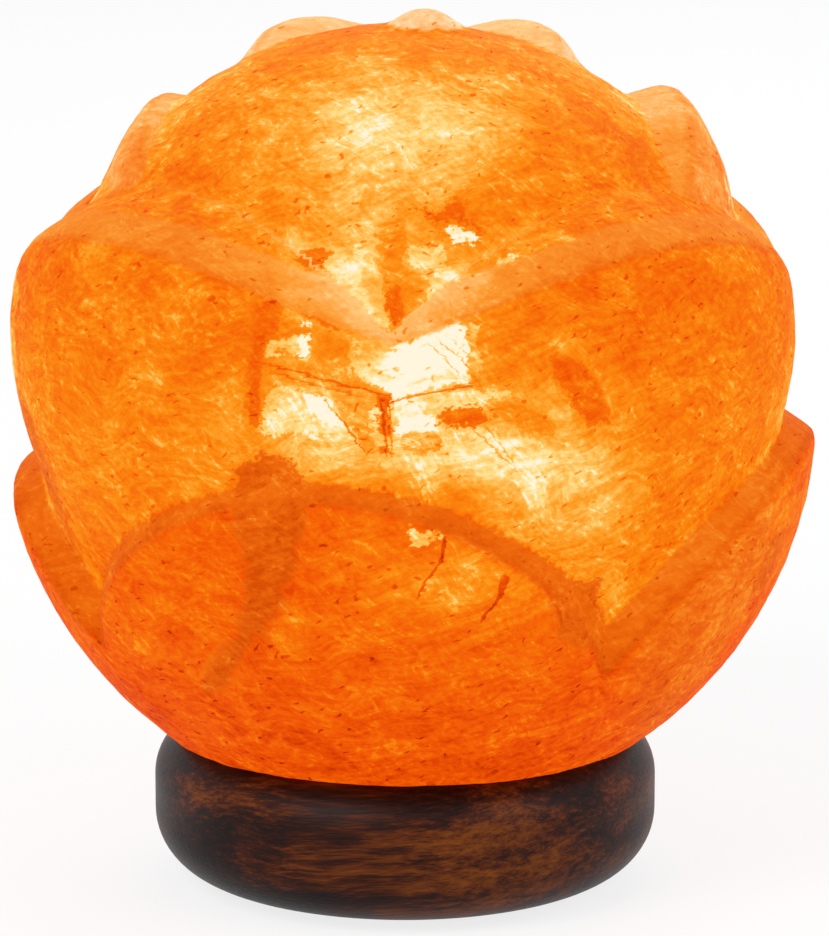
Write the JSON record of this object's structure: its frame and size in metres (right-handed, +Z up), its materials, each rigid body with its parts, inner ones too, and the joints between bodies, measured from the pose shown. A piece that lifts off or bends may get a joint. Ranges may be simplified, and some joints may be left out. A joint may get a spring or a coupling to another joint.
{
  "type": "salt crystal lamp",
  "caption": "Ball of orange rock salt carved as a lotus with overlapping petals, on a round dark wooden base, lit from inside by a small screw-base bulb on a spring-clip holder.",
  "frame": {"origin": "on the lamp's axis, at the level of the pads' undersides", "axes": "+Z up along the lamp's axis, -Y to the front, +X to the right seen from the front"},
  "size_m": [0.1612, 0.1627, 0.1763],
  "materials": {
    "salt": "rough carved rock salt, translucent, lit from inside",
    "wood": "dark stained hardwood, turned, satin oil",
    "felt": "pressed felt",
    "zinc_steel": "zinc plated",
    "grey_nylon": "moulded nylon",
    "black_phenolic": "satin moulded",
    "black_rubber": "matt",
    "brass": "bright stamped",
    "spring_steel": "spring steel",
    "solder": "dull tin solder",
    "black_glass": "glossy black glass",
    "nickel_cap": "nickel plated, rolled thread",
    "clear_glass": "clear blown glass",
    "stem_glass": "clear pressed glass",
    "wire": "nickel wire",
    "filament_wire": "glowing tungsten"
  },
  "bodies": {
    "lamp": {"salt_block": "salt", "wood_base": "wood", "foot_pads": "felt", "fixing_screws": "zinc_steel", "screw_washers": "zinc_steel", "salt_plugs": "grey_nylon"},
    "holder": {"holder_cap": "black_phenolic", "holder_body": "black_phenolic", "inlet_bush": "black_rubber", "thread_sleeve": "brass", "centre_contact": "brass", "terminal_blocks": "brass", "terminal_screws": "zinc_steel", "contact_rivets": "brass", "spring_clip": "spring_steel"},
    "bulb_lifting": {"bulb_button": "solder"},
    "bulb": {"bulb_insulator": "black_glass", "bulb_cap": "nickel_cap", "bulb_glass": "clear_glass", "bulb_stem": "stem_glass", "lead_wires": "wire", "filament": "filament_wire"}
  },
  "joints": [
    {"name": "holder_slide", "type": "slide", "parent": "lamp", "child": "holder", "axis": [0, 0, -1], "range_m": [0, 0.12]},
    {"name": "bulb_lift", "type": "slide", "parent": "holder", "child": "bulb_lifting", "axis": [0, 0, 1], "range_m": [0, 0.0236]},
    {"name": "bulb_turn", "type": "hinge", "parent": "bulb_lifting", "child": "bulb", "pos_m": [0, 0, 0.0825], "axis": [0, 0, 1], "range_deg": [0, 2880]}
  ],
  "couplings": [
    {"joint": "bulb_lift", "follows": "bulb_turn", "m_per_rad": 0.00044882}
  ]
}
